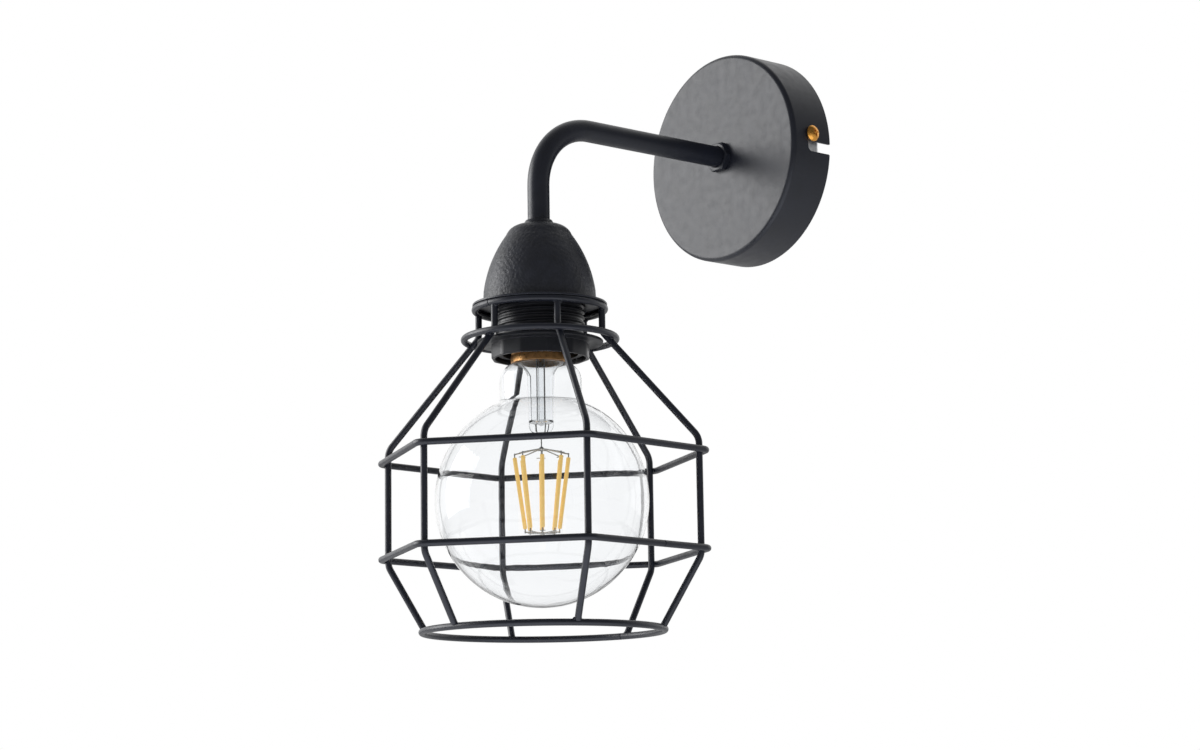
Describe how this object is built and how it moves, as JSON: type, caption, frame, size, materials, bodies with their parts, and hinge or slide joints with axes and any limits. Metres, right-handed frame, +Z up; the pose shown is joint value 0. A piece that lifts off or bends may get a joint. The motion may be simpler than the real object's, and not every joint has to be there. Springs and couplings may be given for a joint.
{
  "type": "cage wall light",
  "caption": "Wall light: a round rose, a bent tube and a dome carry a screw lampholder, with a wire cage clamped round a clear globe bulb.",
  "frame": {"origin": "centre of the wall bracket and of the rose, on the wall plane", "axes": "+Z up, +Y into the wall, +X to the right for someone facing the wall"},
  "size_m": [0.1398, 0.2122, 0.282],
  "materials": {
    "zinc_plated_steel": "zinc plated",
    "brass_screw": "yellow passivated",
    "black_steel": "satin black powder coat",
    "black_casting": "black textured coat on a die casting",
    "black_moulding": "satin black moulding",
    "black_rod": "satin black powder coat on steel rod",
    "brass_fitting": "bright",
    "foam_pad": "matte",
    "white_nylon": "matte",
    "white_ceramic": "matte ceramic",
    "brown_insulation": "satin",
    "blue_insulation": "satin",
    "green_yellow_insulation": "satin",
    "clear_glass": "clear",
    "black_glass": "black",
    "bulb_brass": "thin sheet, satin",
    "yellow_filament": "phosphor coat",
    "support_wire": "bright wire"
  },
  "bodies": {
    "bracket": {"wall_bracket": "zinc_plated_steel", "side_screw_right": "brass_screw", "side_screw_left": "brass_screw"},
    "lamp": {"rose_cup": "black_steel", "arm_tube": "black_steel", "front_nut": "black_steel", "lock_washer": "zinc_plated_steel", "earth_tag": "brass_fitting", "rear_nut": "zinc_plated_steel", "terminal_pad": "foam_pad", "terminal_block": "white_nylon", "terminal_sleeves": "brass_fitting", "terminal_screws": "zinc_plated_steel", "live_wire": "brown_insulation", "neutral_wire": "blue_insulation", "earth_wire": "green_yellow_insulation", "top_collar": "black_steel", "dome_cap": "black_casting", "holder_body": "black_moulding", "contact_carrier": "white_ceramic", "screw_shell": "brass_fitting", "centre_contact": "brass_fitting", "shell_strap": "brass_fitting", "holder_terminals": "brass_fitting", "holder_terminal_screws": "zinc_plated_steel"},
    "cage": {"cage_top_plate": "black_rod", "cage_top_ring": "black_rod", "cage_second_ring": "black_rod", "cage_upper_hex_ring": "black_rod", "cage_lower_hex_ring": "black_rod", "cage_mouth_ring": "black_rod", "cage_rod_1": "black_rod", "cage_rod_2": "black_rod", "cage_rod_3": "black_rod", "cage_rod_4": "black_rod", "cage_rod_5": "black_rod", "cage_rod_6": "black_rod"},
    "shade_ring": {"shade_ring": "black_moulding"},
    "bulb_lift": {"bulb_tip_contact": "bulb_brass"},
    "bulb": {"bulb_glass": "clear_glass", "bulb_cap": "bulb_brass", "bulb_cap_insulator": "black_glass", "bulb_stem": "clear_glass", "bulb_filaments": "yellow_filament", "bulb_supports": "support_wire", "bulb_lead_wires": "support_wire"}
  },
  "joints": [
    {"name": "rose_twist", "type": "hinge", "parent": "bracket", "child": "lamp", "pos_m": [0, 0, 0], "axis": [0, -1, 0], "range_deg": [0, 6.9]},
    {"name": "cage_drop", "type": "slide", "parent": "lamp", "child": "cage", "axis": [0, 0, -1], "range_m": [0, 0.00625]},
    {"name": "shade_ring_turn", "type": "hinge", "parent": "cage", "child": "shade_ring", "pos_m": [0, -0.137, -0.105], "axis": [0, 0, -1], "range_deg": [0, 900]},
    {"name": "bulb_drop", "type": "slide", "parent": "lamp", "child": "bulb_lift", "axis": [0, 0, -1], "range_m": [0, 0.01452]},
    {"name": "bulb_turn", "type": "hinge", "parent": "bulb_lift", "child": "bulb", "pos_m": [0, -0.137, -0.1], "axis": [0, 0, -1], "range_deg": [0, 1440]}
  ],
  "couplings": [
    {"joint": "shade_ring_turn", "follows": "cage_drop", "rad_per_m": 2513.3},
    {"joint": "bulb_turn", "follows": "bulb_drop", "rad_per_m": 1731.4}
  ]
}
